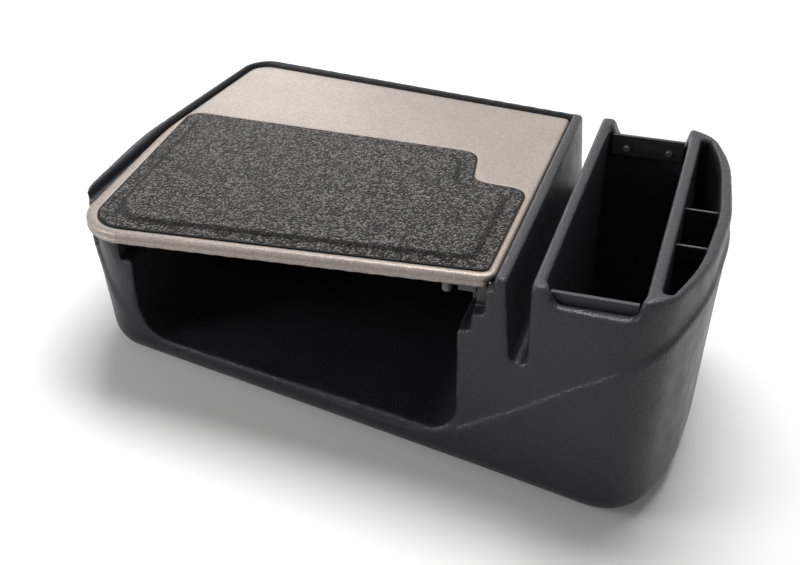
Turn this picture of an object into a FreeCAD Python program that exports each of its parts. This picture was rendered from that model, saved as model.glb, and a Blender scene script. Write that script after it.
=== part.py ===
import FreeCAD, Part
import Sketcher
import math
import os

from FreeCAD import Vector, Placement, Rotation

# Car desk. Every piece is drawn in the desk's own frame: x to the right, y to the back, z up from the
# top of the tray, with x = 0 at the first hook of the file bay. One common placement then lays the
# wedge-shaped base flat on the ground, with the origin at the middle of the base.

doc = FreeCAD.newDocument("car_desk")
sheet = doc.addObject("Spreadsheet::Sheet", "Sheet")
row = 0


def size(alias, value, note):
    """Put one driving dimension, or a formula of others, in the sheet."""
    global row
    row += 1
    sheet.set("A%d" % row, note)
    sheet.set("B%d" % row, str(value))
    sheet.setAlias("B%d" % row, alias)


def val(alias):
    return float(sheet.get(alias))


# Driving dimensions, in millimetres and degrees
base_tilt = 8.5
size("base_tilt", base_tilt, "angle between the base and the top")
rim_top = 5
size("rim_top", rim_top, "height of the body's rims above the tray")
base_depth = 228
size("base_depth", base_depth, "depth of the base below the tray at x = 14")
hull_draft = 13
size("hull_draft", hull_draft, "how far the hull draws in from top to bottom")
hull_round = 28
size("hull_round", hull_round, "radius along the bottom edge")
rim_round = 4
size("rim_round", rim_round, "radius along the top edge")
step_depth = 1.8
size("step_depth", step_depth, "step along the swoosh line")

# Along the desk, from the file bay to both ends
file_left = -6
size("file_left", file_left, "left wall of the file bay")
file_width = 82
size("file_width", file_width, "clear width of the file bay")
cup_wall = 12
size("cup_wall", cup_wall, "wall between the file bay and the organizer")
cup_width = 32
size("cup_width", cup_width, "width of the organizer")
cup_rim = 13
size("cup_rim", cup_rim, "width of the organizer's rim")
size("cup_left", "=file_left + file_width + cup_wall", "left wall of the organizer")
size("right_x", "=cup_left + cup_width + cup_rim", "right end of the organizer")
slot_wall = 11
size("slot_wall", slot_wall, "wall between the slot and the file bay")
slot_mouth = 21
size("slot_mouth", slot_mouth, "width of the slot at the top")
slot_foot = 15
size("slot_foot", slot_foot, "width of the slot at its bottom")
slot_depth = 79
size("slot_depth", slot_depth, "depth of the slot")
size("slot_right", "=file_left - slot_wall", "right edge of the slot")
size("slot_left", "=slot_right - slot_mouth", "left edge of the slot at the top")
desk_wall = 18
size("desk_wall", desk_wall, "wall between the slot and the bay under the tray")
bay_width = 370
size("bay_width", bay_width, "width of the bay between the runner walls")
size("bay_right", "=slot_left - desk_wall", "right edge of the bay between the runners")
size("bay_left", "=bay_right - bay_width", "left edge of the bay between the runners")
left_wall = 31
size("left_wall", left_wall, "width of the left wall at its top")
size("left_x", "=bay_left - left_wall", "left end at the front")

# From front to back
front_y = -18
size("front_y", front_y, "front panel at the file bay")
front_wall = 11
size("front_wall", front_wall, "thickness of the front panel at the top")
back_wall = 21
size("back_wall", back_wall, "thickness of the back wall at the top")
size("file_front", "=front_y + front_wall", "front wall of the file bay")
file_length = 325
size("file_length", file_length, "clear length of the file bay")
size("back_y", "=file_front + file_length + back_wall", "back of the file bay")
front_setback = 18
size("front_setback", front_setback, "how far the front recedes at the left end")
back_flare = 46
size("back_flare", back_flare, "how far the back recedes at the left end")

# Bays and ledges
file_floor = 9
size("file_floor", file_floor, "floor left under the file bay")
size("file_depth", "=base_depth - file_floor", "depth of the file bay")
file_lean = 10
size("file_lean", file_lean, "how far the bay's end walls lean in at the bottom")
notch_depth = 13
size("notch_depth", notch_depth, "how far the bay's end walls are lowered")
rail_thick = 4
size("rail_thick", rail_thick, "thickness of a file rail")
rail_height = 22
size("rail_height", rail_height, "height of a file rail")
rail_top = -4
size("rail_top", rail_top, "top of the file rails")
cup_depth = 112
size("cup_depth", cup_depth, "depth of the organizer")
divider_thick = 2.4
size("divider_thick", divider_thick, "thickness of a divider")
divider_one = 111
size("divider_one", divider_one, "front divider")
divider_two = 181
size("divider_two", divider_two, "rear divider")
ledge_one = -8
size("ledge_one", ledge_one, "height of the ledge that carries the tray")
ledge_two = -35
size("ledge_two", ledge_two, "height of the runner ledge")
ledge_three = -54
size("ledge_three", ledge_three, "height of the stop ledge")
ledge_width = 12
size("ledge_width", ledge_width, "width of the lower ledges")
storage_floor = 53
size("storage_floor", storage_floor, "height of the storage floor above the base at x = 14")
size("floor_depth", "=base_depth - storage_floor", "depth of the storage floor at its right end")
floor_slope = 7
size("floor_slope", floor_slope, "slope of the storage floor")
size("mouth_right", "=bay_right - 2 * ledge_width", "right wall of the storage bay")
size("mouth_left", "=bay_left + 2 * ledge_width", "left wall of the storage bay")
storage_wall = 17
size("storage_wall", storage_wall, "wall behind the storage bay at its right")
size("storage_back", "=back_y - storage_wall", "back wall of the storage bay at its right")
storage_flare = 40
size("storage_flare", storage_flare, "how far that wall recedes at the left")

# Tray and mat
size("tray_right", "=bay_right + 5.5", "right edge of the tray")
size("tray_left", "=left_x + 8", "left edge of the tray at its widest")
size("tray_front", "=front_y + 11.5", "front edge of the tray at its right")
tray_skew = 32
size("tray_skew", tray_skew, "how far the front edge comes forward at the left")
size("tray_back", "=back_y - 7", "back edge of the tray at its right")
size("tray_flare", "=back_flare - 4", "how far the back edge recedes at the left")
tray_thick = 7
size("tray_thick", tray_thick, "thickness of the tray")
apron_drop = 12
size("apron_drop", apron_drop, "depth of the tray's front lip")
mat_recess = 2
size("mat_recess", mat_recess, "depth of the recess under the mat")
mat_thick = 3
size("mat_thick", mat_thick, "thickness of the mat")
mat_back = 222
size("mat_back", mat_back, "back edge of the mat")
well_gap = 2
size("well_gap", well_gap, "gap round the tray")

# Runners, stops and lock
runner_width = 8.5
size("runner_width", runner_width, "width of a tray runner")
size("runner_right", "=bay_right - 2.5 - runner_width", "right runner")
size("runner_left", "=bay_left + 2.5", "left runner")
runner_front = 4
size("runner_front", runner_front, "front end of the runners")
size("runner_length", "=tray_back - 38 - runner_front", "length of the runners")
strip_thick = 1.5
size("strip_thick", strip_thick, "thickness of a glide strip")
strip_front = 0
size("strip_front", strip_front, "front end of the glide strips")
size("strip_length", "=storage_back - 14 - strip_front", "length of the glide strips")
size("runner_low", "=ledge_two + strip_thick + 0.3", "underside of the runners")
size("runner_high", "=0 - tray_thick - runner_low", "height of the runners")
stop_travel = 170
size("stop_travel", stop_travel, "how far the tray slides out")
stop_front = 40
size("stop_front", stop_front, "front of the stop blocks")
stop_deep = 10
size("stop_deep", stop_deep, "size of a stop block along the slide")
stop_wide = 9
size("stop_wide", stop_wide, "width of a stop block")
stop_high = 18
size("stop_high", stop_high, "height of a stop block")
size("stop_right", "=mouth_right + 0.8", "right stop block")
size("stop_left", "=mouth_left - 0.8 - stop_wide", "left stop block")
size("arm_front", "=stop_front + stop_deep + stop_travel + 0.5", "front of the stop arms")

bolt_y = 10
size("bolt_y", bolt_y, "front of the lock bolt")
bolt_low = -20
size("bolt_low", bolt_low, "underside of the lock bolt")
bolt_high = 7
size("bolt_high", bolt_high, "height of the lock bolt")
bolt_deep = 8
size("bolt_deep", bolt_deep, "depth of the lock bolt")
size("bolt_left", "=bay_right - 45", "left end of the lock bolt")
size("bolt_length", "=bay_right - 4 - bolt_left", "length of the lock bolt")
bolt_travel = 8
size("bolt_travel", bolt_travel, "travel of the lock bolt")
peg_size = 9
size("peg_size", peg_size, "diameter of the finger peg")
peg_drop = 13
size("peg_drop", peg_drop, "how far the finger peg hangs down")
size("housing_left", "=bolt_left + peg_size + bolt_travel + 0.5", "left end of the lock housing")
size("housing_length", "=runner_right - 0.5 - housing_left", "length of the lock housing")
housing_deep = 24
size("housing_deep", housing_deep, "depth of the lock housing")
size("housing_y", "=bolt_y + 0.5 * bolt_deep - 0.5 * housing_deep", "front of the lock housing")
size("housing_low", "=bolt_low - 3", "underside of the lock housing")
size("housing_high", "=0 - tray_thick - housing_low", "height of the lock housing")
keeper_thick = 2
size("keeper_thick", keeper_thick, "thickness of the lock keeper")
keeper_deep = 24
size("keeper_deep", keeper_deep, "length of the lock keeper")
size("keeper_y", "=bolt_y + 0.5 * bolt_deep - 0.5 * keeper_deep", "front of the lock keeper")
size("keeper_low", "=bolt_low - 4", "underside of the lock keeper")
size("keeper_high", "=bolt_high + 7", "height of the lock keeper")

plate_thick = 4
size("plate_thick", plate_thick, "thickness of the base plate")
size("plate_left", "=left_x + 53", "left edge of the base plate")
size("plate_right", "=file_left + 4", "right edge of the base plate")
size("plate_front", "=front_y + 48", "front edge of the base plate")
size("plate_back", "=back_y - 31", "back edge of the base plate")
size("plate_long", "=plate_right - plate_left", "length of the base plate")
size("plate_wide", "=plate_back - plate_front", "width of the base plate")
size("plate_x", "=-0.5 * plate_long", "left edge of the base plate from its middle")
size("plate_y", "=-0.5 * plate_wide", "front edge of the base plate from its middle")
ground = 0
size("ground", ground, "height of the base")
skin = 4
size("skin", skin, "wall left over the hollow above the base plate")
screw_size = 3.4
size("screw_size", screw_size, "diameter of the screws")
size("head_size", "=1.9 * screw_size", "diameter of the screw heads")
head_high = 2.2
size("head_high", head_high, "height of the screw heads")
size("rail_left", "=file_left + 4.3", "left end of the file rails")
size("rail_long", "=file_width - 8.6", "length of the file rails")
size("rail_low", "=rail_top - rail_height", "underside of the file rails")
size("rail_back", "=file_front + file_length - rail_thick", "front of the rear rail")
doc.recompute()

TILT = math.radians(val("base_tilt"))
SLOPE = math.tan(TILT)
FAR = 700.0


def base_z(x):
    """Height of the base plane at x."""
    return -val("base_depth") - (x - 14.0) * SLOPE


# Common placement: the base turns level and its middle becomes the origin
MID_X = 0.5 * (val("plate_left") + val("plate_right"))
MID_Y = 0.5 * (val("plate_front") + val("plate_back"))
pivot = Vector(MID_X, MID_Y, base_z(MID_X))
turn = Rotation(Vector(0, 1, 0), -val("base_tilt"))
STAND = Placement(turn.multVec(pivot * -1.0), turn)


# Outlines and solids
def corner_spots(points, z):
    """Start, middle and end of the arc at each corner (x, y, radius) of a closed outline."""
    count = len(points)
    spots = []
    for i in range(count):
        before = Vector(points[i - 1][0], points[i - 1][1], z)
        here = Vector(points[i][0], points[i][1], z)
        after = Vector(points[(i + 1) % count][0], points[(i + 1) % count][1], z)
        radius = points[i][2]
        into = (before - here).normalize()
        out = (after - here).normalize()
        half = 0.5 * into.getAngle(out)
        reach = radius / math.tan(half)
        middle = here + (into + out).normalize() * (radius / math.sin(half) - radius)
        spots.append((here + into * reach, middle, here + out * reach))
    return spots


def rounded(points, z):
    """Closed wire of lines, with an arc at each corner."""
    spots = corner_spots(points, z)
    edges = []
    for i, (start, middle, end) in enumerate(spots):
        edges.append(Part.makeLine(spots[i - 1][2], start))
        edges.append(Part.Arc(start, middle, end).toShape())
    return Part.Wire(edges)


def prism(wire, height):
    """Solid swept up from a flat wire by a height along z."""
    return Part.Face(wire).extrude(Vector(0, 0, height))


def tapered(low, high):
    """Solid between two like wires, with one ruled face for each pair of edges."""
    sides = [Part.makeRuledSurface(a, b) for a, b in zip(low.OrderedEdges, high.OrderedEdges)]
    skin = Part.Shell(sides + [Part.Face(low), Part.Face(high)])
    skin.sewShape()
    solid = Part.Solid(skin)
    if solid.Volume < 0:
        solid.reverse()
    return solid


def across(points, y0, y1):
    """Solid swept along y from a profile of (x, z) points."""
    corners = [Vector(x, y0, z) for x, z in points]
    return Part.Face(Part.makePolygon(corners + corners[:1])).extrude(Vector(0, y1 - y0, 0))


def box(x0, x1, y0, y1, z0, z1):
    return Part.makeBox(x1 - x0, y1 - y0, z1 - z0, Vector(x0, y0, z0))


def soften(shape, radius, wanted):
    """Fillet the edges that pass a test, and keep the sharp shape if they cannot be rounded."""
    edges = [edge for edge in shape.Edges if wanted(edge)]
    if not edges:
        return shape
    try:
        done = shape.makeFillet(radius, edges)
    except Exception:
        print("left sharp:", len(edges), "edges")
        return shape
    if done.isValid() and done.Volume > 0.9 * shape.Volume and len(done.Solids) == 1:
        return done
    print("left sharp:", len(edges), "edges")
    return shape


def hull(draw, draft):
    """Corners of the body's plan, drawn in all round by a step and by the draft of the walls."""
    front = val("front_y") + draw + 0.6 * draft
    back = val("back_y") - draw - 0.6 * draft
    left = val("left_x") + draw + draft
    right = val("right_x") - draw - draft
    nose = val("cup_left") + 10 - 0.6 * (draw + draft)
    return [
        (val("bay_right") + 6, front, 300),
        (nose - 6, front - 8, 54),
        (right - 7, front + 74, 240),
        (right + 1, 0.5 * (front + back), 300),
        (right - 9, back - 70, 220),
        (nose, back, 46),
        (val("bay_right") + 11, back, 150),
        (left + 22, back + val("back_flare"), 30),
        (left - 6, 150, 330),
        (left, front + val("front_setback"), 42),
    ]


def hull_solid(draw, smooth):
    """Tapered body between the rims and the tilted base, with or without its rounded edges."""
    high = rounded(hull(draw, 0.0), val("rim_top"))
    corners = hull(draw, val("hull_draft"))
    low = rounded([((x - MID_X) / math.cos(TILT), y - MID_Y, r) for x, y, r in corners], 0)
    low.Placement = STAND.inverse()
    solid = tapered(low, high)
    if not smooth:
        return solid
    normal = Vector(-math.sin(TILT), 0, -math.cos(TILT))

    def on_base(edge):
        first = edge.FirstParameter
        last = edge.LastParameter
        spots = [edge.valueAt(first), edge.valueAt(0.5 * (first + last))]
        return all(abs((spot - pivot).dot(normal)) < 0.01 for spot in spots)

    def on_top(edge):
        return edge.BoundBox.ZMin > val("rim_top") - 0.01

    solid = soften(solid, val("hull_round"), on_base)
    return soften(solid, val("rim_round"), on_top)


# Body shell
outer = hull_solid(0.0, True)
inner = hull_solid(val("step_depth"), True)

# Swoosh line along which the lower hull steps out, from the left end over the low front to the right end
mouth_left = val("mouth_left")
mouth_right = val("mouth_right")
keel = -val("base_depth")
swoosh = Part.BSplineCurve()
swoosh.interpolate(
    [
        Vector(val("left_x") - 40, -FAR, keel + 258),
        Vector(val("left_x") + 6, -FAR, keel + 194),
        Vector(mouth_left - 12, -FAR, keel + 116),
        Vector(mouth_left + 40, -FAR, keel + 88),
        Vector(mouth_right - 156, -FAR, keel + 70),
        Vector(mouth_right - 30, -FAR, keel + 52),
        Vector(mouth_right + 40, -FAR, keel + 88),
        Vector(mouth_right + 120, -FAR, keel + 146),
        Vector(val("right_x") - 23, -FAR, keel + 190),
        Vector(val("right_x") + 40, -FAR, keel + 226),
    ]
)
line = swoosh.toShape()
ends = [line.Vertexes[-1].Point, line.Vertexes[0].Point]
lid = [ends[0], Vector(ends[0].x, -FAR, 200), Vector(ends[1].x, -FAR, 200), ends[1]]
above = Part.Face(Part.Wire([line] + Part.makePolygon(lid).Edges)).extrude(Vector(0, 2 * FAR, 0))
shell = inner.fuse(outer.cut(above))

top = val("rim_top") + 1
right = val("bay_right")
left = val("bay_left")
wide = val("ledge_width")


def floor_z(x):
    """Height of the storage floor at x."""
    return -val("floor_depth") + (val("mouth_right") - x) * math.tan(math.radians(val("floor_slope")))


def corner(profile, spot, radius):
    """Round the corner of a swept profile that runs along y at (x, z)."""
    near = lambda edge: all(math.hypot(v.X - spot[0], v.Z - spot[1]) < 0.01 for v in edge.Vertexes)
    return soften(profile, radius, near)


# Storage bay with the stepped walls, swept from the mouth to the back wall
low_right = (val("mouth_right"), floor_z(val("mouth_right")))
low_left = (val("mouth_left"), floor_z(val("mouth_left")))
storage = across(
    [
        (right, top),
        (right, val("ledge_two")),
        (right - wide, val("ledge_two")),
        (right - wide, val("ledge_three")),
        (val("mouth_right"), val("ledge_three")),
        low_right,
        low_left,
        (val("mouth_left"), val("ledge_three")),
        (left + wide, val("ledge_three")),
        (left + wide, val("ledge_two")),
        (left, val("ledge_two")),
        (left, top),
    ],
    -FAR,
    FAR,
)
rear = val("storage_back")
plan = [
    (left - 60, -FAR),
    (right + 60, -FAR),
    (right + 60, rear),
    (left - 60, rear + val("storage_flare")),
]
corners = [Vector(x, y, -FAR) for x, y in plan]
plan_face = Part.Face(Part.makePolygon(corners + corners[:1]))
storage = storage.common(plan_face.extrude(Vector(0, 0, 2 * FAR)))
for spot in (
    (right, val("ledge_two")),
    (right - wide, val("ledge_three")),
    (left, val("ledge_two")),
    (left + wide, val("ledge_three")),
):
    storage = corner(storage, spot, 2)
for spot in (
    (right - wide, val("ledge_two")),
    (val("mouth_right"), val("ledge_three")),
    (left + wide, val("ledge_two")),
    (val("mouth_left"), val("ledge_three")),
):
    storage = corner(storage, spot, 2.5)
storage = corner(storage, low_right, 28)
storage = corner(storage, low_left, 36)

# Well for the tray, open to the front so that the tray can slide out
gap = val("well_gap")
tray_left = val("tray_left")
tray_right = val("tray_right")
back = val("tray_back")
flare = val("tray_flare")
well = prism(
    rounded(
        [
            (tray_right + gap, -FAR, 1),
            (tray_right + gap, back + gap, 4),
            (tray_left + 22 - gap, back + flare + gap, 22),
            (tray_left - gap, 180, 300),
            (tray_left - gap, -FAR, 1),
        ],
        val("ledge_one"),
    ),
    60,
)

# Slot right through between the desk and the file bay
foot = val("slot_right") - val("slot_foot")
slot = across(
    [
        (val("slot_left"), top),
        (foot, -val("slot_depth")),
        (val("slot_right"), -val("slot_depth")),
        (val("slot_right"), top),
    ],
    -FAR,
    FAR,
)
slot = corner(slot, (foot, -val("slot_depth")), 7)
slot = corner(slot, (val("slot_right"), -val("slot_depth")), 7)

# File bay, with its end walls lowered for the hooks
x0 = val("file_left")
x1 = x0 + val("file_width")
y0 = val("file_front")
y1 = y0 + val("file_length")
mouth = [(x0, y0, 4), (x1, y0, 4), (x1, y1, 4), (x0, y1, 4)]
lean = val("file_lean")
heel = [
    (x0 + 2, y0 + lean, 4),
    (x1 - 2, y0 + lean, 4),
    (x1 - 2, y1 - lean, 4),
    (x0 + 2, y1 - lean, 4),
]
bend = val("rail_low") - 4
bay = tapered(rounded(heel, -val("file_depth")), rounded(mouth, bend))
bay = bay.fuse(prism(rounded(mouth, bend), 300)).removeSplitter()
dip = across(
    [(x0 + 2, top), (x0 + 10, -val("notch_depth")), (x1 - 5, -val("notch_depth")), (x1 - 1, top)],
    -FAR,
    y0 + 10,
)
dip = corner(dip, (x0 + 10, -val("notch_depth")), 6)
dip = corner(dip, (x1 - 5, -val("notch_depth")), 5)
dip_back = dip.copy()
dip_back.translate(Vector(0, y1 - 10 + FAR, 0))


# Organizer: one D-shaped well, with grooves for two dividers
def cup_wire(z, draw):
    front = val("front_y") + val("cup_rim") + 11 + draw
    back_end = val("back_y") - val("cup_rim") - 11 - draw
    end = val("right_x") - val("cup_rim") - draw
    return rounded(
        [
            (val("cup_left") + draw, front, 3),
            (val("cup_left") + 8, front, 3),
            (end - 7, front + 54, 260),
            (end, 0.5 * (front + back_end), 300),
            (end - 8, back_end - 54, 260),
            (val("cup_left") + 8, back_end, 3),
            (val("cup_left") + draw, back_end, 3),
        ],
        z,
    )


cups = prism(cup_wire(-val("cup_depth"), 0), 300)
for middle in (val("divider_one"), val("divider_two")):
    half = 0.5 * val("divider_thick") + 0.2
    groove = prism(cup_wire(-val("cup_depth"), -1.5), val("cup_depth") - 6)
    cups = cups.fuse(groove.common(box(0, 200, middle - half, middle + half, -300, 100)))

# Hollows above the base plate, and the seat that takes the plate
skin = val("skin")
inside = val("file_left") - skin
hollow_profile = [
    (val("left_x") - 90, base_z(val("left_x") - 90) + 14),
    (val("left_x") - 90, val("ledge_two") - 10),
    (val("mouth_left") - skin, val("ledge_two") - 10 - wide),
    (val("mouth_left") - skin, floor_z(val("mouth_left")) - skin),
    (val("mouth_right") + skin, floor_z(val("mouth_right")) - skin - 4),
    (val("mouth_right") + skin, -val("slot_depth") - 10),
    (inside, -val("slot_depth") - 10),
    (inside, base_z(inside) + 14),
]
hollow = across(hollow_profile, -FAR, FAR).common(hull_solid(val("step_depth") + skin, False))
hollow = hollow.fuse(
    across(
        [
            (val("plate_left") + 8, base_z(val("plate_left") + 8) + 15),
            (inside, base_z(inside) + 15),
            (inside, base_z(inside) - 30),
            (val("plate_left") + 8, base_z(val("plate_left") + 8) - 30),
        ],
        val("plate_front") + 8,
        val("plate_back") - 8,
    )
)
seat = box(
    val("plate_left") - MID_X - 0.3,
    val("plate_right") - MID_X + 0.3,
    val("plate_front") - MID_Y - 0.3,
    val("plate_back") - MID_Y + 0.3,
    -30,
    val("plate_thick"),
)
seat.Placement = STAND.inverse()


def at_top(edge):
    return edge.BoundBox.ZMin > val("rim_top") - 0.01


def inside_box(edge, x0, x1, y0, y1):
    bound = edge.BoundBox
    return bound.XMin > x0 and bound.XMax < x1 and bound.YMin > y0 and bound.YMax < y1


def on_front(edge, tool):
    """Edges where a swept cut meets the front panel."""
    bound = edge.BoundBox
    if bound.YMax > 14 or bound.YLength > 6:
        return False
    middle = edge.valueAt(0.5 * (edge.FirstParameter + edge.LastParameter))
    return tool.Shells[0].distToShape(Part.Vertex(middle))[0] < 0.02


def over(x0, x1):
    return lambda e: at_top(e) and inside_box(e, x0 - 0.5, x1 + 0.5, -30, 360)


shell = shell.cut(bay)
shell = soften(shell, 3, over(x0, x1))
shell = shell.cut(cups)
shell = soften(shell, 3, over(val("cup_left"), val("right_x") - 6))
shell = shell.cut(slot)
shell = soften(shell, 2, lambda e: on_front(e, slot))
shell = soften(shell, 2, over(val("slot_left"), val("slot_right")))
shell = shell.cut(storage).cut(well)
shell = soften(shell, 3, lambda e: on_front(e, storage))
shell = shell.cut(dip).cut(dip_back)
shell = soften(shell, 2, lambda e: on_front(e, dip))
shell = shell.cut(hollow).cut(seat)
shell = shell.removeSplitter()


# Pieces
pieces = []


def keep(label, shape):
    """Keep a shape as a named piece in the common placement."""
    node = doc.addObject("Part::Feature", label)
    node.Label = label
    node.Shape = shape
    node.Placement = STAND
    pieces.append(node)
    return node


def plane_of(body, name):
    return [item for item in body.Origin.OriginFeatures if item.Role == name][0]


def slab(label, x, y, z, wide, deep, high, stand):
    """Body padded from a rectangle; every size is an alias of the sheet."""
    body = doc.addObject("PartDesign::Body", label)
    body.Label = label
    plan = body.newObject("Sketcher::SketchObject", label + "_plan")
    plan.AttachmentSupport = (plane_of(body, "XY_Plane"), [""])
    plan.MapMode = "FlatFace"
    plan.setExpression("AttachmentOffset.Base.z", "Sheet." + z)
    left = val(x)
    near = val(y)
    far = near + val(deep)
    right = left + val(wide)
    spots = [Vector(left, near, 0), Vector(right, near, 0), Vector(right, far, 0), Vector(left, far, 0)]
    for i in range(4):
        plan.addGeometry(Part.LineSegment(spots[i], spots[(i + 1) % 4]), False)
    for i in range(4):
        plan.addConstraint(Sketcher.Constraint("Coincident", i, 2, (i + 1) % 4, 1))
    for i in (0, 2):
        plan.addConstraint(Sketcher.Constraint("Horizontal", i))
    for i in (1, 3):
        plan.addConstraint(Sketcher.Constraint("Vertical", i))
    for kind, first, second, alias in (
        ("DistanceX", (-1, 1), (0, 1), x),
        ("DistanceY", (-1, 1), (0, 1), y),
        ("DistanceX", (0, 1), (0, 2), wide),
        ("DistanceY", (1, 1), (1, 2), deep),
    ):
        number = plan.addConstraint(Sketcher.Constraint(kind, *first, *second, val(alias)))
        plan.setExpression("Constraints[%d]" % number, "Sheet." + alias)
    pad = body.newObject("PartDesign::Pad", label + "_pad")
    pad.Profile = plan
    pad.setExpression("Length", "Sheet." + high)
    body.Placement = stand
    doc.recompute()
    pieces.append(body)
    return body


def group(solids):
    return solids[0].multiFuse(solids[1:]) if len(solids) > 1 else solids[0]


def worked(label, blank, cuts, joins, stand):
    """Piece made from a padded blank, with solids joined to it and holes cut in it."""
    pieces.remove(blank)
    base = blank
    if joins:
        added = doc.addObject("Part::Feature", label + "_added")
        added.Shape = group(joins)
        base = doc.addObject("Part::MultiFuse", label + "_joined")
        base.Shapes = [blank, added]
        base.Refine = True
    holes = doc.addObject("Part::Feature", label + "_holes")
    holes.Shape = group(cuts)
    node = doc.addObject("Part::Cut", label)
    node.Label = label
    node.Base = base
    node.Tool = holes
    node.Refine = True
    node.Placement = stand
    doc.recompute()
    pieces.append(node)


def rod(x, y, z, radius, length, axis):
    return Part.makeCylinder(radius, length, Vector(x, y, z), axis)


UP = Vector(0, 0, 1)
DOWN = Vector(0, 0, -1)
BACK = Vector(0, 1, 0)
AHEAD = Vector(0, -1, 0)
SIDE = Vector(1, 0, 0)
half_screw = 0.5 * val("screw_size")
half_head = 0.5 * val("head_size")


def screw(spot, axis, length):
    """Pan-head screw with the underside of its head at a spot, driven along an axis."""
    head = Part.makeCylinder(half_head, val("head_high"), spot - axis * val("head_high"), axis)
    return head.fuse(Part.makeCylinder(half_screw, length, spot, axis)).removeSplitter()


def pilot(spot, axis, length):
    """Hole for that screw."""
    return Part.makeCylinder(half_screw + 0.1, length, spot, axis)


# Tray and mat
tray_front = val("tray_front")
outline = [
    (tray_right, tray_front, 14),
    (tray_right, back, 5),
    (tray_left + 22, back + flare, 22),
    (tray_left, 180, 300),
    (tray_left + 11, tray_front - val("tray_skew"), 48),
]
under = -val("tray_thick")
tray = prism(rounded(outline, under), val("tray_thick"))
lip = prism(rounded(outline, -val("apron_drop")), val("apron_drop") - 1)
core = lip.copy()
core.translate(Vector(0, 4, 0))
lip_end = val("front_y") + val("front_setback") - 1.5
apron = lip.cut(core).common(box(-FAR, FAR, -FAR, lip_end, -FAR, FAR))
apron = apron.cut(box(val("bay_right") - 1, FAR, -FAR, FAR, -FAR, val("ledge_one") + 0.5))
apron = max(apron.Solids, key=lambda solid: solid.Volume)
tray = tray.fuse(apron).removeSplitter()
tray = soften(tray, 3, lambda e: e.BoundBox.ZMin > -0.01)
mat_right = tray_right - 6.5
mat_front = tray_front + 7.5
mat_outline = [
    (mat_right, mat_front, 8),
    (mat_right, val("mat_back") - 66, 16),
    (mat_right - 55, val("mat_back") - 62, 16),
    (mat_right - 65, val("mat_back") - 1, 18),
    (tray_left + 8, val("mat_back") + 3, 14),
    (tray_left + 24, mat_front - 30, 34),
]
recess = -val("mat_recess")
tray = tray.cut(prism(rounded(mat_outline, recess), 20))
mat = prism(rounded(mat_outline, recess).makeOffset2D(-0.3), val("mat_thick"))
mat = soften(mat, 1, lambda e: e.BoundBox.ZMin > recess + val("mat_thick") - 0.01)

# Runners with their stop arms
level = val("runner_low")
runner_mid = 0.5 * val("runner_width")
screw_ys = [val("runner_front") + val("runner_length") * part for part in (0.16, 0.5, 0.92)]
runner_screws = []
tray_holes = []
runner_holes = {"left": [], "right": []}
for side, x in (("left", val("runner_left")), ("right", val("runner_right"))):
    for y in screw_ys:
        spot = Vector(x + runner_mid, y, under - 4)
        runner_screws.append(screw(spot, UP, 7))
        tray_holes.append(pilot(Vector(spot.x, y, under - 1), UP, 4.2))
        runner_holes[side].append(pilot(Vector(spot.x, y, under - 5), UP, 6))
        runner_holes[side].append(rod(spot.x, y, level - 1, half_head + 0.2, under - 4 - level + 1, UP))
arm_y = val("arm_front")
runner_x = val("runner_right")
arm_low = val("ledge_three") + 4
right_arm = box(runner_x - 11, runner_x, arm_y, arm_y + 12, level + 3, under)
right_arm = right_arm.fuse(box(runner_x - 11, runner_x - 2.5, arm_y, arm_y + 12, arm_low, level + 4))
runner_x = val("runner_left") + val("runner_width")
left_arm = box(runner_x, runner_x + 11, arm_y, arm_y + 12, level + 3, under)
left_arm = left_arm.fuse(box(runner_x + 2.5, runner_x + 11, arm_y, arm_y + 12, arm_low, level + 4))
bolt_y = val("bolt_y")
bolt_z = val("bolt_low")
bolt_gap = box(
    val("bolt_left") - 100,
    val("bolt_left") + val("bolt_length") + 30,
    bolt_y - 0.3,
    bolt_y + val("bolt_deep") + 0.3,
    bolt_z - 0.3,
    bolt_z + val("bolt_high") + 0.3,
)

# Lock keeper pocket and bolt hole in the stepped wall
wall = val("bay_right")
keeper_pocket = box(
    wall - 1,
    wall + val("keeper_thick"),
    val("keeper_y") - 0.2,
    val("keeper_y") + val("keeper_deep") + 0.2,
    val("keeper_low") - 0.2,
    val("keeper_low") + val("keeper_high") + 0.2,
)
socket = box(
    wall,
    wall + val("keeper_thick") + val("bolt_travel"),
    bolt_y - 0.8,
    bolt_y + val("bolt_deep") + 0.8,
    bolt_z - 0.8,
    bolt_z + val("bolt_high") + 0.8,
)

# Screw places
rail_z = val("rail_low") + 8
rail_xs = [val("rail_left") + val("rail_long") * part for part in (0.2, 0.8)]
rail_front = val("file_front") + val("rail_thick")
rail_rear = val("rail_back")
rail_screws = [screw(Vector(x, rail_front, rail_z), AHEAD, 8) for x in rail_xs]
rail_screws += [screw(Vector(x, rail_rear, rail_z), BACK, 8) for x in rail_xs]
rail_holes = [pilot(Vector(x, rail_front + 1, rail_z), AHEAD, 9.5) for x in rail_xs]
rail_holes += [pilot(Vector(x, rail_rear - 1, rail_z), BACK, 9.5) for x in rail_xs]

stop_y = val("stop_front") + 0.5 * val("stop_deep")
stop_top = val("ledge_three") + val("stop_high")
stop_xs = [val("stop_left") + 0.5 * val("stop_wide"), val("stop_right") + 0.5 * val("stop_wide")]
seat_z = val("ledge_three") + 6
stop_screws = [screw(Vector(x, stop_y, seat_z), DOWN, 15) for x in stop_xs]
stop_holes = [pilot(Vector(x, stop_y, seat_z + 1), DOWN, 16.5) for x in stop_xs]
stop_holes += [rod(x, stop_y, seat_z, half_head + 0.2, stop_top - seat_z + 1, UP) for x in stop_xs]

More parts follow.
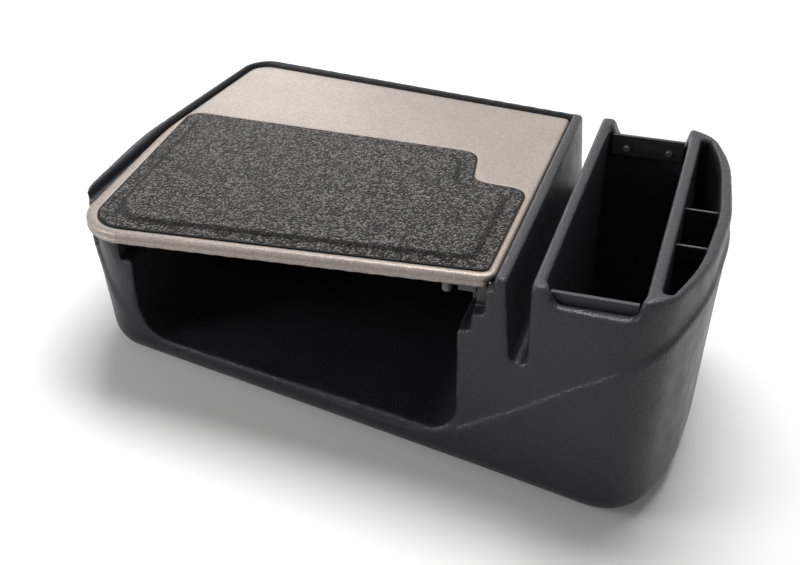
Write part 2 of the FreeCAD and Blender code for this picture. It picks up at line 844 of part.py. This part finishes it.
housing_x = val("housing_left") + 0.5 * val("housing_length")
housing_ys = [val("housing_y") + 4, val("housing_y") + val("housing_deep") - 4]
lift = val("housing_low") + 8
housing_screws = [screw(Vector(housing_x, y, lift), UP, under + 3 - lift) for y in housing_ys]
housing_holes = [pilot(Vector(housing_x, y, lift - 1), UP, under + 3.2 - lift + 1) for y in housing_ys]
well_low = val("housing_low") - 1
housing_wells = [rod(housing_x, y, well_low, half_head + 0.2, lift - well_low, UP) for y in housing_ys]

edge_x = 0.5 * val("plate_long") - 4.5
edge_y = 0.5 * val("plate_wide") - 4.5
plate_spots = [(x, y) for y in (-edge_y, edge_y) for x in (-edge_x, 0, edge_x)]
sunk = val("head_high") + 0.4
base_screws = [screw(Vector(x, y, sunk), UP, 9) for x, y in plate_spots]
plate_holes = [pilot(Vector(x, y, -1), UP, 13) for x, y in plate_spots]
plate_wells = [rod(x, y, -1, half_head + 0.2, sunk + 1, UP) for x, y in plate_spots]

# Put the pieces together
base_holes = []
for hole in plate_holes:
    hole = hole.copy()
    hole.Placement = STAND.inverse().multiply(hole.Placement)
    base_holes.append(hole)
for tool in rail_holes + stop_holes + [keeper_pocket, socket] + base_holes:
    shell = shell.cut(tool)
keep("body_shell", shell)
for tool in tray_holes + housing_holes:
    tray = tray.cut(tool)
keep("desktop_tray", tray)
keep("grip_mat", mat)
LEVEL = Placement()

runner_sizes = ("runner_width", "runner_length", "runner_high")
blank = slab("left_runner_blank", "runner_left", "runner_front", "runner_low", *runner_sizes, LEVEL)
worked("left_tray_runner", blank, runner_holes["left"], [left_arm], STAND)
blank = slab("right_runner_blank", "runner_right", "runner_front", "runner_low", *runner_sizes, LEVEL)
worked("right_tray_runner", blank, runner_holes["right"] + [bolt_gap], [right_arm], STAND)
keep("runner_screws", Part.makeCompound(runner_screws))

strip_sizes = ("runner_width", "strip_length", "strip_thick")
slab("left_glide_strip", "runner_left", "strip_front", "ledge_two", *strip_sizes, STAND)
slab("right_glide_strip", "runner_right", "strip_front", "ledge_two", *strip_sizes, STAND)
stop_sizes = ("stop_wide", "stop_deep", "stop_high")
blank = slab("left_stop_blank", "stop_left", "stop_front", "ledge_three", *stop_sizes, LEVEL)
worked("left_stop_block", blank, stop_holes, [], STAND)
blank = slab("right_stop_blank", "stop_right", "stop_front", "ledge_three", *stop_sizes, LEVEL)
worked("right_stop_block", blank, stop_holes, [], STAND)
keep("stop_screws", Part.makeCompound(stop_screws))

housing_sizes = ("housing_length", "housing_deep", "housing_high")
blank = slab("housing_blank", "housing_left", "housing_y", "housing_low", *housing_sizes, LEVEL)
worked("lock_housing", blank, [bolt_gap] + housing_holes + housing_wells, [], STAND)
keep("housing_screws", Part.makeCompound(housing_screws))
peg_mid = bolt_y + 0.5 * val("bolt_deep")
peg_x = val("bolt_left") + 0.5 * val("peg_size")
peg = rod(peg_x, peg_mid, bolt_z - val("peg_drop"), 0.5 * val("peg_size"), val("peg_drop") + 2, UP)
peg = soften(peg, 2, lambda e: e.BoundBox.ZMax < bolt_z - val("peg_drop") + 0.01)
bolt = box(
    val("bolt_left"),
    val("bolt_left") + val("bolt_length"),
    bolt_y,
    bolt_y + val("bolt_deep"),
    bolt_z,
    bolt_z + val("bolt_high"),
)
bolt = bolt.fuse(peg.common(box(-FAR, FAR, -FAR, FAR, -FAR, bolt_z + 1))).removeSplitter()
keep("lock_bolt", bolt)
keeper_sizes = ("keeper_thick", "keeper_deep", "keeper_high")
blank = slab("keeper_blank", "bay_right", "keeper_y", "keeper_low", *keeper_sizes, LEVEL)
worked("lock_keeper", blank, [socket], [], STAND)

rail_sizes = ("rail_long", "rail_thick", "rail_height")
blank = slab("front_rail_blank", "rail_left", "file_front", "rail_low", *rail_sizes, LEVEL)
worked("front_file_rail", blank, rail_holes, [], STAND)
blank = slab("rear_rail_blank", "rail_left", "rail_back", "rail_low", *rail_sizes, LEVEL)
worked("rear_file_rail", blank, rail_holes, [], STAND)
keep("rail_screws", Part.makeCompound(rail_screws))

places = {"front_cup_divider": val("divider_one"), "rear_cup_divider": val("divider_two")}
for label, middle in places.items():
    half = 0.5 * val("divider_thick")
    sheet_of = prism(cup_wire(-val("cup_depth"), -1.3), val("cup_depth") - 8)
    keep(label, sheet_of.common(box(0, 200, middle - half, middle + half, -300, 100)))

plate_sizes = ("plate_long", "plate_wide", "plate_thick")
blank = slab("plate_blank", "plate_x", "plate_y", "ground", *plate_sizes, LEVEL)
worked("base_plate", blank, plate_holes + plate_wells, [], LEVEL)
node = keep("base_screws", Part.makeCompound(base_screws))
node.Placement = LEVEL

# Check every object, then write one file for each piece
doc.recompute()
for item in doc.Objects:
    if "Invalid" in item.State or "Error" in item.State:
        raise RuntimeError("not built: " + item.Label)
os.makedirs("parts", exist_ok=True)
for node in pieces:
    if node.Shape.isNull() or not node.Shape.isValid() or not node.Shape.Solids:
        raise RuntimeError("bad shape: " + node.Label)
    node.Shape.exportStep("parts/" + node.Label + ".step")
    print(node.Label, len(node.Shape.Solids), round(node.Shape.Volume / 1000.0, 2))
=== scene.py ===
import bpy
import bmesh
import math
from mathutils import Matrix, Vector, geometry, kdtree


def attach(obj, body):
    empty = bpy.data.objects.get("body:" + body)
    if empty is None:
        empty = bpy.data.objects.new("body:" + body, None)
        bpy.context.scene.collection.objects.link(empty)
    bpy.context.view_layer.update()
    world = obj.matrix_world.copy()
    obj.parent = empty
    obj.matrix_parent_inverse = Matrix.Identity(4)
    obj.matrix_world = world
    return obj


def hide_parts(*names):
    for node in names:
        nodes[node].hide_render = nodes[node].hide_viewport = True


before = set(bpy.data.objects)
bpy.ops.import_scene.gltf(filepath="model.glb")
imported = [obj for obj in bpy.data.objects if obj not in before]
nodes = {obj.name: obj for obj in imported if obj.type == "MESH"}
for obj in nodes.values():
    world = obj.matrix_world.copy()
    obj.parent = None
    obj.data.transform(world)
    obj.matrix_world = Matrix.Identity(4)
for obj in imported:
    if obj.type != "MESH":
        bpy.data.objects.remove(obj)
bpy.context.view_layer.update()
scene = bpy.context.scene

# The desk's own frame has x to the right, y to the back and z up from the top of the tray.
# The wedge base turns it in the row frame.
TILT = math.radians(8.5)
DESK = Matrix.Rotation(-TILT, 4, "Y") @ Matrix.Translation((0.203, -0.169, 0.19557))
MM = 1000

# Finishes
EDGE_SAMPLES = 6
CLOUD_LOW, CLOUD_HIGH = 0.3, 0.7


def start_finish(name, colour, roughness, metallic=0.0, specular=0.5):
    """A material with its shader, and the node tree to add detail to."""
    material = bpy.data.materials.new(name)
    material.use_nodes = True
    tree = material.node_tree
    shader = tree.nodes["Principled BSDF"]
    shader.inputs["Base Color"].default_value = (*colour, 1)
    shader.inputs["Roughness"].default_value = roughness
    shader.inputs["Metallic"].default_value = metallic
    shader.inputs["Specular IOR Level"].default_value = specular
    return material, tree, shader


def place(tree):
    """Where a point lies, for patterns that stay with their piece."""
    return tree.nodes.new("ShaderNodeTexCoord").outputs["Object"]


def noise(tree, size, detail=2.0):
    """Cloudy pattern whose features are about this size in metres."""
    node = tree.nodes.new("ShaderNodeTexNoise")
    node.inputs["Scale"].default_value = 1.0 / size
    node.inputs["Detail"].default_value = detail
    tree.links.new(place(tree), node.inputs["Vector"])
    return node.outputs["Fac"]


def cells(tree, size, output="Distance"):
    """Cell pattern with cells of about this size in metres."""
    node = tree.nodes.new("ShaderNodeTexVoronoi")
    node.inputs["Scale"].default_value = 1.0 / size
    tree.links.new(place(tree), node.inputs["Vector"])
    return node.outputs[output]


def cell_tones(tree, size):
    """Three numbers, as Red, Green and Blue, that change from cell to cell."""
    node = tree.nodes.new("ShaderNodeSeparateColor")
    tree.links.new(cells(tree, size, "Color"), node.inputs["Color"])
    return node.outputs


def ranged(tree, value, low, high, out_low=0.0, out_high=1.0):
    """A value moved from one range to another."""
    node = tree.nodes.new("ShaderNodeMapRange")
    node.inputs["From Min"].default_value = low
    node.inputs["From Max"].default_value = high
    node.inputs["To Min"].default_value = out_low
    node.inputs["To Max"].default_value = out_high
    tree.links.new(value, node.inputs["Value"])
    return node.outputs["Result"]


def tinted(tree, factor, dark, light):
    """A colour between two colours."""
    node = tree.nodes.new("ShaderNodeMix")
    node.data_type = "RGBA"
    first, second = [socket for socket in node.inputs if socket.type == "RGBA"]
    first.default_value = (*dark, 1)
    second.default_value = (*light, 1)
    tree.links.new(factor, node.inputs["Factor"])
    return [socket for socket in node.outputs if socket.type == "RGBA"][0]


def added(tree, first, second, share):
    """First value plus a share of the second."""
    node = tree.nodes.new("ShaderNodeMath")
    node.operation = "MULTIPLY_ADD"
    node.inputs[1].default_value = share
    tree.links.new(second, node.inputs[0])
    tree.links.new(first, node.inputs[2])
    return node.outputs["Value"]


def joined(tree, operation, first, second):
    """Two values put together by an operation."""
    node = tree.nodes.new("ShaderNodeMath")
    node.operation = operation
    tree.links.new(first, node.inputs[0])
    tree.links.new(second, node.inputs[1])
    return node.outputs["Value"]


def joined_vectors(tree, operation, first, second):
    """Two directions or colours put together by an operation."""
    node = tree.nodes.new("ShaderNodeVectorMath")
    node.operation = operation
    tree.links.new(first, node.inputs[0])
    tree.links.new(second, node.inputs[1])
    return node.outputs


def soft_normal(tree, radius):
    """The normal of a surface whose edges look rounded to this radius."""
    edge = tree.nodes.new("ShaderNodeBevel")
    edge.samples = EDGE_SAMPLES
    edge.inputs["Radius"].default_value = radius
    return edge.outputs["Normal"]


def bumped(tree, shader, height, depth, strength, soft_edge=0.0):
    """Relief on the shader's normal, over edges that look rounded where soft_edge is given."""
    bump = tree.nodes.new("ShaderNodeBump")
    bump.inputs["Distance"].default_value = depth
    bump.inputs["Strength"].default_value = strength
    tree.links.new(height, bump.inputs["Height"])
    if soft_edge:
        tree.links.new(soft_normal(tree, soft_edge), bump.inputs["Normal"])
    tree.links.new(bump.outputs["Normal"], shader.inputs["Normal"])


def uneven_gloss(tree, shader, pattern, low, high):
    """Roughness that wanders between two values with a cloudy pattern."""
    spread = ranged(tree, pattern, CLOUD_LOW, CLOUD_HIGH, low, high)
    tree.links.new(spread, shader.inputs["Roughness"])


def edge_share(tree, width):
    """How near an outer edge a point is: 0 on flat faces and in inner corners, towards 1 on the edge."""
    flat_turn, edge_turn = 0.99, 0.85
    shut_in, in_the_open = 0.75, 0.97
    flat = tree.nodes.new("ShaderNodeNewGeometry").outputs["Normal"]
    turn = joined_vectors(tree, "DOT_PRODUCT", soft_normal(tree, width), flat)["Value"]
    air = tree.nodes.new("ShaderNodeAmbientOcclusion")
    air.samples = EDGE_SAMPLES
    air.inputs["Distance"].default_value = 3 * width
    near = ranged(tree, turn, flat_turn, edge_turn)
    return joined(tree, "MULTIPLY", near, ranged(tree, air.outputs["AO"], shut_in, in_the_open))


def charcoal_moulding(name, soft_edge):
    """Dark grey moulded plastic with a fine leathery grain, and a painted highlight: a paler colour added
    along its outer edges.
    """
    dark, light, painted_edge_highlight = (0.0072, 0.0071, 0.0084), (0.022, 0.0213, 0.025), (0.12, 0.118, 0.125)
    cell_size, pore_size, cloud_size, gloss_size, highlight_width = 0.0022, 0.0016, 0.05, 0.02, 0.0026
    material, tree, shader = start_finish(name, (0.018, 0.018, 0.02), 0.38, specular=0.3)
    grain = added(tree, cells(tree, cell_size), noise(tree, pore_size, 3), 0.8)
    tone = added(tree, ranged(tree, grain, 0.4, 1.1, 0.0, 0.7), noise(tree, cloud_size, 3), 0.5)
    tint = tinted(tree, ranged(tree, tone, 0.2, 0.9), dark, light)
    # Painted highlight: a paler colour added on outer edges, kept out of inner corners.
    edge_highlight = tinted(tree, edge_share(tree, highlight_width), (0, 0, 0), painted_edge_highlight)
    both = joined_vectors(tree, "ADD", tint, edge_highlight)["Vector"]
    tree.links.new(both, shader.inputs["Base Color"])
    uneven_gloss(tree, shader, noise(tree, gloss_size, 3), 0.32, 0.44)
    bumped(tree, shader, grain, 0.0005, 0.7, soft_edge)
    return material


def plain_moulding(name, colour, roughness=0.45, specular=0.5):
    """Smoother moulding of the small inner pieces."""
    cloud_size, gloss_size, grain_size, soft_edge = 0.012, 0.006, 0.0008, 0.0006
    material, tree, shader = start_finish(name, colour, roughness, specular=specular)
    dark, light = [[share * c for c in colour] for share in (0.88, 1.12)]
    tree.links.new(tinted(tree, noise(tree, cloud_size), dark, light), shader.inputs["Base Color"])
    uneven_gloss(tree, shader, noise(tree, gloss_size), roughness - 0.07, roughness + 0.07)
    bumped(tree, shader, noise(tree, grain_size), 0.0001, 0.3, soft_edge)
    return material


def silver_paint():
    """Warm silver metallic paint over a fine texture, with bright and dark flakes."""
    dark, light = (0.2, 0.168, 0.147), (0.352, 0.3, 0.264)
    flake_size, cloud_size, texture_size = 0.0012, 0.06, 0.0016
    material, tree, shader = start_finish("silver_paint", (0.24, 0.21, 0.19), 0.42, 0.4)
    flake = cell_tones(tree, flake_size)
    tone = added(tree, flake["Red"], noise(tree, cloud_size), 0.6)
    tree.links.new(tinted(tree, ranged(tree, tone, 0.1, 1.5), dark, light), shader.inputs["Base Color"])
    tree.links.new(ranged(tree, flake["Green"], 0, 1, 0.36, 0.52), shader.inputs["Roughness"])
    bumped(tree, shader, added(tree, noise(tree, texture_size), flake["Blue"], 0.25), 0.0002, 0.5)
    return material


def pebble_rubber(name, top_highlight_colour):
    """Black grip sheet with a pebble grain: small domes, each a little paler or darker than the next.
    Dome middles are painted paler and the gaps between them darker, painted highlight and painted shade
    over the grain's own tone.
    """
    gap_shade_colour = (0.001, 0.001, 0.001)
    pebble_size, gloss_size = 0.0021, 0.005
    material, tree, shader = start_finish(name, (0.02, 0.02, 0.021), 0.36, specular=0.12)
    pebble = cells(tree, pebble_size)
    # Paler dome middles and near-black gaps: painted highlight and painted shade on top of each pebble's
    # random tone.
    tone = added(tree, cell_tones(tree, pebble_size)["Red"], pebble, -1.3)
    tint = tinted(tree, ranged(tree, tone, -0.25, 0.75), gap_shade_colour, top_highlight_colour)
    tree.links.new(tint, shader.inputs["Base Color"])
    uneven_gloss(tree, shader, noise(tree, gloss_size), 0.28, 0.44)
    bumped(tree, shader, ranged(tree, pebble, 0.0, 0.8, 1.0, 0.0), 0.0018, 1.0)
    return material


def bright_metal(name, colour, roughness):
    """Drawn metal with fine lines that run from left to right."""
    along, across = 30.0, 1500.0
    material, tree, shader = start_finish(name, colour, roughness, 1.0)
    stretched = tree.nodes.new("ShaderNodeMapping")
    stretched.inputs["Scale"].default_value = (along, across, across)
    tree.links.new(place(tree), stretched.inputs["Vector"])
    lines = tree.nodes.new("ShaderNodeTexNoise")
    lines.inputs["Scale"].default_value = 1.0
    lines.inputs["Detail"].default_value = 2.0
    tree.links.new(stretched.outputs["Vector"], lines.inputs["Vector"])
    uneven_gloss(tree, shader, lines.outputs["Fac"], roughness - 0.1, roughness + 0.12)
    bumped(tree, shader, lines.outputs["Fac"], 0.00005, 0.25, 0.0004)
    return material


def wear(material, *names):
    """Give CAD nodes a finish."""
    for name in names:
        mesh = nodes[name].data
        mesh.materials.clear()
        mesh.materials.append(material)


charcoal = charcoal_moulding("charcoal_moulding", 0.0)
charcoal_sheet = charcoal_moulding("charcoal_sheet", 0.0012)
dark_plastic = plain_moulding("dark_plastic", (0.035, 0.035, 0.037))
glide_plastic = plain_moulding("glide_plastic", (0.05, 0.05, 0.05))
peg_plastic = plain_moulding("peg_plastic", (0.1, 0.1, 0.102))
silver = silver_paint()
rubber = pebble_rubber("pebble_rubber", (0.26, 0.234, 0.23))
# Darker copy of the rubber for the slope round the raised middle: painted shade.
shaded_slope_rubber = pebble_rubber("pebble_slope_painted_shade", (0.05, 0.046, 0.045))
# Near-black rim round the mat: black rubber, darkened further as painted shade of the gap between mat and
# tray.
mat_rim_painted_shade = plain_moulding("mat_rim_painted_shade", (0.004, 0.004, 0.004), 0.62, 0.15)
rail_metal = bright_metal("rail_metal", (0.055, 0.055, 0.058), 0.5)
screw_steel = bright_metal("screw_steel", (0.5, 0.5, 0.5), 0.32)

wear(charcoal_sheet, "body_shell", "base_plate", "front_cup_divider", "rear_cup_divider")
wear(dark_plastic, "left_tray_runner", "right_tray_runner", "lock_housing")
wear(dark_plastic, "left_stop_block", "right_stop_block")
wear(glide_plastic, "left_glide_strip", "right_glide_strip")
wear(peg_plastic, "lock_bolt")
wear(silver, "desktop_tray")
wear(rail_metal, "front_file_rail", "rear_file_rail")
wear(screw_steel, "lock_keeper", "base_screws", "stop_screws")
wear(screw_steel, "rail_screws", "runner_screws", "housing_screws")


# New pieces
def add_piece(name, bm, material, body):
    """Turn a bmesh drawn in the desk's frame into a piece that rides on a body."""
    mesh = bpy.data.meshes.new(name)
    bm.to_mesh(mesh)
    bm.free()
    mesh.transform(DESK)
    mesh.materials.append(material)
    piece = bpy.data.objects.new(name, mesh)
    scene.collection.objects.link(piece)
    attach(piece, body)
    return piece


# The mat's corners in millimetres: x, y and how far the corner is rounded
MAT_CORNERS = [
    (-57.3, 1.3, 8),
    (-57.3, 155.7, 16),
    (-112.3, 159.7, 16),
    (-122.3, 220.7, 18),
    (-440.7, 224.7, 14),
    (-424.7, -28.7, 34),
]
MAT_BOTTOM, MAT_EDGE_HEIGHT = -2, 0.0026
# Places of the mat's finishes in its list of materials. The side's near-black rim is the mat's own black
# rubber, darkened further as painted shade of the gap round it.
MAT_FIELD, MAT_SHADED_SIDE, MAT_SHADED_SLOPE = range(3)
# Rings of the mat from its edge inwards: width and rise in metres, and finish. The slope rings wear a
# darker rubber, painted shade on the rising slope of the raised middle.
MAT_RINGS = [
    (0.0016, 0.0004, MAT_SHADED_SIDE),
    (0.0125, 0.0, MAT_FIELD),
    (0.0025, 0.0011, MAT_SHADED_SLOPE),
    (0.0025, 0.0009, MAT_SHADED_SLOPE),
    (0.002, 0.0002, MAT_FIELD),
]
# A corner's edges are shorter than the first length and lie nearer to it than the second
CORNER_EDGE, CORNER_REACH = 0.028, 0.03


def mat_form():
    """Mat with a flat border and a softly raised middle."""
    bm = bmesh.new()
    spots = [Vector((x, y, MAT_BOTTOM)) / MM for x, y, radius in MAT_CORNERS]
    bottom = bm.faces.new([bm.verts.new(spot) for spot in spots])
    made = bmesh.ops.extrude_face_region(bm, geom=[bottom], use_keep_orig=True)
    top = [item for item in made["geom"] if isinstance(item, bmesh.types.BMFace)][0]
    bmesh.ops.translate(bm, verts=top.verts[:], vec=(0, 0, MAT_EDGE_HEIGHT))
    bmesh.ops.recalc_face_normals(bm, faces=bm.faces[:])
    for face in bm.faces:
        face.material_index = MAT_SHADED_SIDE
    top.material_index = MAT_FIELD
    for width, rise, finish in MAT_RINGS:
        ring = bmesh.ops.inset_region(
            bm, faces=[top], thickness=width, use_even_offset=True, use_boundary=True
        )
        for face in ring["faces"]:
            face.material_index = finish
        bmesh.ops.translate(bm, verts=top.verts[:], vec=(0, 0, rise))
    for i, (x, y, radius) in enumerate(MAT_CORNERS):
        before = spots[i - 1] - spots[i]
        after = spots[(i + 1) % len(spots)] - spots[i]
        reach = radius / MM / math.tan(0.5 * before.angle(after))
        chain = []
        for edge in bm.edges:
            middle = 0.5 * (edge.verts[0].co + edge.verts[1].co)
            if edge.calc_length() < CORNER_EDGE and (middle - spots[i]).length < CORNER_REACH:
                chain.append(edge)
        bmesh.ops.bevel(
            bm,
            geom=chain,
            offset=reach,
            offset_type="ABSOLUTE",
            affect="EDGES",
            segments=10,
            profile=0.5,
            material=-1,
        )
    bmesh.ops.recalc_face_normals(bm, faces=bm.faces[:])
    return bm


# The curved crease round the body, seen from the front: x and z in millimetres
CREASE_STOPS = [
    (-497, 30),
    (-451, -34),
    (-414, -112),
    (-362, -140),
    (-236, -158),
    (-110, -176),
    (-40, -140),
    (40, -82),
    (110, -38),
    (173, -2),
    (230, 30),
]
# Height of the crease in metres, then in millimetres how far it fades out
# downwards, how wide its upper side is, and where it ends
CREASE_RISE, CREASE_FADE, CREASE_SLOPE, CREASE_REACH = 0.0017, 14, 3.2, 40
# Room for the lock bolt in the shell, in metres
BOLT_ROOM = 0.0009
# Bottom of the shell in millimetres: its height at one x, and its fall to the right
BASE_HEIGHT, BASE_X, BASE_FALL = -218, 14, 0.14945
# Groove in the tray's lip: height and half width in millimetres, depth in metres
GROOVE_HEIGHT, GROOVE_WIDTH, GROOVE_DEPTH = -7.0, 1.5, 0.0018


def crease_spots():
    """Points along the crease, to find the nearest one."""
    stops = [Vector((x, 0, z)) for x, z in CREASE_STOPS]
    spots = []
    for before, start, end, after in zip(stops, stops[1:], stops[2:], stops[3:]):
        bend = (end - before) / 6, (after - start) / 6
        spots += geometry.interpolate_bezier(start, start + bend[0], end - bend[1], end, 40)
    tree = kdtree.KDTree(len(spots))
    for i, spot in enumerate(spots):
        tree.insert(spot, i)
    tree.balance()
    return tree


def relaxed_copy(node, voxel, passes, share, is_free, push_of):
    """Finely meshed copy of a CAD node in the desk's frame.

    Its free edges are relaxed round, small relief is pushed in or out along the
    normals, and a share of its faces is kept.
    """
    bm = bmesh.new()
    bm.from_mesh(nodes[node].data)
    bmesh.ops.remove_doubles(bm, verts=bm.verts[:], dist=0.00001)
    bmesh.ops.transform(bm, matrix=DESK.inverted(), verts=bm.verts[:])
    mesh = bpy.data.meshes.new("rough_form")
    bm.to_mesh(mesh)
    bm.free()
    rough = bpy.data.objects.new("rough_form", mesh)
    scene.collection.objects.link(rough)
    finer = rough.modifiers.new("finer", "REMESH")
    finer.mode = "VOXEL"
    finer.voxel_size = voxel
    bm = bmesh.new()
    bm.from_object(rough, bpy.context.evaluated_depsgraph_get())
    free = [vert for vert in bm.verts if is_free(*(vert.co * MM))]
    for step in range(passes):
        bmesh.ops.smooth_vert(
            bm, verts=free, factor=0.5, use_axis_x=True, use_axis_y=True, use_axis_z=True
        )
    bm.normal_update()
    for vert, push in [(vert, vert.normal * push_of(vert)) for vert in bm.verts]:
        vert.co += push
    bm.to_mesh(mesh)
    bm.free()
    rough.modifiers.clear()
    lighter = rough.modifiers.new("lighter", "DECIMATE")
    lighter.ratio = share
    bm = bmesh.new()
    bm.from_object(rough, bpy.context.evaluated_depsgraph_get())
    for face in bm.faces:
        face.smooth = True
    bpy.data.objects.remove(rough)
    return bm


def body_form():
    """Shell with the round edges of a blown moulding and a crease whose lower side stands proud."""
    crease = crease_spots()

    def is_free(x, y, z):
        on_ledges = -452 < x < -40 and 4 < y < 330 and -66 < z < -3
        on_base = z < BASE_HEIGHT - BASE_FALL * (x - BASE_X)
        return not on_ledges and not on_base

    def push_of(vert):
        x, y, z = vert.co * MM
        in_bolt_socket = -54.2 < x < -44 and 6 < y < 22 and -24 < z < -9
        if in_bolt_socket:
            return -BOLT_ROOM
        beside_mouth = y < 2 and not -404 < x < -78
        on_back_or_left = y > 330 or x < -446
        faces_out = vert.normal.x * (x - 40) + vert.normal.y * (y - 150) > 0
        on_right = x > 60 and faces_out
        if not (beside_mouth or on_back_or_left or on_right):
            return 0.0
        spot, index, gap = crease.find((x, 0, z))
        if gap > CREASE_REACH:
            return 0.0
        below = z < spot.z
        return CREASE_RISE * (math.exp(-gap / CREASE_FADE) if below else max(0.0, 1 - gap / CREASE_SLOPE))

    return relaxed_copy("body_shell", 0.002, 9, 0.23, is_free, push_of)


def tray_form():
    """Work surface with soft edges and the fine groove that runs round its lip."""

    def is_free(x, y, z):
        return z > -26

    def push_of(vert):
        on_top_or_bottom = abs(vert.normal.z) >= 0.7
        if on_top_or_bottom:
            return 0.0
        off_middle = (vert.co.z * MM - GROOVE_HEIGHT) / GROOVE_WIDTH
        return -GROOVE_DEPTH * math.exp(-(off_middle**2))

    return relaxed_copy("desktop_tray", 0.0015, 8, 0.6, is_free, push_of)


tray = add_piece("painted_tray", tray_form(), silver, "tray")
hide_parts("desktop_tray")
shell = add_piece("moulded_shell", body_form(), charcoal, "body")
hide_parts("body_shell")
mat = add_piece("pebble_mat", mat_form(), rubber, "tray")
mat.data.materials.append(mat_rim_painted_shade)
mat.data.materials.append(shaded_slope_rubber)
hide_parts("grip_mat")


# Floor, light and camera
FLOOR_HALF, FLOOR_HEIGHT = 6.0, -0.0004
# The floor glows more and more between these distances, so that it ends in white
GLOW_START, GLOW_END, GLOW_LOW, GLOW_HIGH = 0.7, 2.4, 0.05, 1.0
SURROUND_LIGHT, SURROUND_SEEN = 0.13, 1.0
# Lamps: name, place, aim, power, width and depth
LAMPS = [
    ("key_box", (-0.2, 0.6, 2.3), (0, -0.1, 0.1), 68, 1.5, 1.1),
    ("sheen_box", (-1.1, 1.9, 0.75), (-0.2, 0.3, 0.2), 5, 0.6, 0.5),
    ("front_box", (-1.6, -1.2, 0.7), (0, 0, 0.1), 20, 0.8, 0.8),
]
# The fitted camera: focal length in pixels of an image of this width, then its place and axes
FOCAL_PIXELS, IMAGE_WIDTH, SENSOR = 1230.0, 800.0, 36.0
CAMERA_PLACE = (0.23019, -1.0357, 0.77964)
CAMERA_RIGHT = (0.94273, 0.3024, 0.14089)
CAMERA_UP = (-0.28354, 0.5037, 0.81606)
CAMERA_BEHIND = (0.17578, -0.8092, 0.56054)


def seen_share(tree):
    """1 for a ray from the camera, a reflection or a clear piece, 0 for a ray that only lights."""
    path = tree.nodes.new("ShaderNodeLightPath")
    value = path.outputs["Is Camera Ray"]
    for name in ("Is Glossy Ray", "Is Transmission Ray"):
        value = joined(tree, "MAXIMUM", value, path.outputs[name])
    return value


def add_floor():
    """Pale floor that keeps the shadow."""
    bm = bmesh.new()
    bmesh.ops.create_grid(bm, x_segments=1, y_segments=1, size=FLOOR_HALF)
    bmesh.ops.translate(bm, verts=bm.verts[:], vec=(0, 0, FLOOR_HEIGHT))
    mesh = bpy.data.meshes.new("floor")
    bm.to_mesh(mesh)
    bm.free()
    floor = bpy.data.objects.new("floor", mesh)
    scene.collection.objects.link(floor)
    material, tree, shader = start_finish("floor_white", (0.86, 0.86, 0.86), 0.9, specular=0.0)
    shader.inputs["Emission Color"].default_value = (1, 1, 1, 1)
    reach = tree.nodes.new("ShaderNodeVectorMath")
    reach.operation = "LENGTH"
    tree.links.new(place(tree), reach.inputs[0])
    glow = ranged(tree, reach.outputs["Value"], GLOW_START, GLOW_END, GLOW_LOW, GLOW_HIGH)
    glow = joined(tree, "MULTIPLY", glow, seen_share(tree))
    tree.links.new(glow, shader.inputs["Emission Strength"])
    mesh.materials.append(material)


def add_surround():
    """White surround that gives only a little light."""
    world = bpy.data.worlds.new("surround")
    world.use_nodes = True
    scene.world = world
    tree = world.node_tree
    back = tree.nodes["Background"]
    back.inputs["Color"].default_value = (1, 1, 1, 1)
    strength = ranged(tree, seen_share(tree), 0.0, 1.0, SURROUND_LIGHT, SURROUND_SEEN)
    tree.links.new(strength, back.inputs["Strength"])


def add_lamp(name, stand, aim, power, width, depth):
    """Soft rectangular lamp."""
    data = bpy.data.lights.new(name, "AREA")
    data.shape = "RECTANGLE"
    data.size = width
    data.size_y = depth
    data.energy = power
    lamp = bpy.data.objects.new(name, data)
    lamp.location = stand
    lamp.rotation_euler = (Vector(aim) - Vector(stand)).to_track_quat("-Z", "Y").to_euler()
    scene.collection.objects.link(lamp)


def add_camera():
    """Camera at the fitted place."""
    data = bpy.data.cameras.new("camera")
    data.sensor_width = SENSOR
    data.lens = SENSOR * FOCAL_PIXELS / IMAGE_WIDTH
    data.clip_start = 0.05
    data.clip_end = 50
    camera = bpy.data.objects.new("camera", data)
    turn = Matrix((CAMERA_RIGHT, CAMERA_UP, CAMERA_BEHIND)).transposed().to_4x4()
    camera.matrix_world = Matrix.Translation(CAMERA_PLACE) @ turn
    scene.collection.objects.link(camera)
    scene.camera = camera


add_floor()
add_surround()
for lamp_values in LAMPS:
    add_lamp(*lamp_values)
add_camera()
scene.view_settings.view_transform = "Standard"
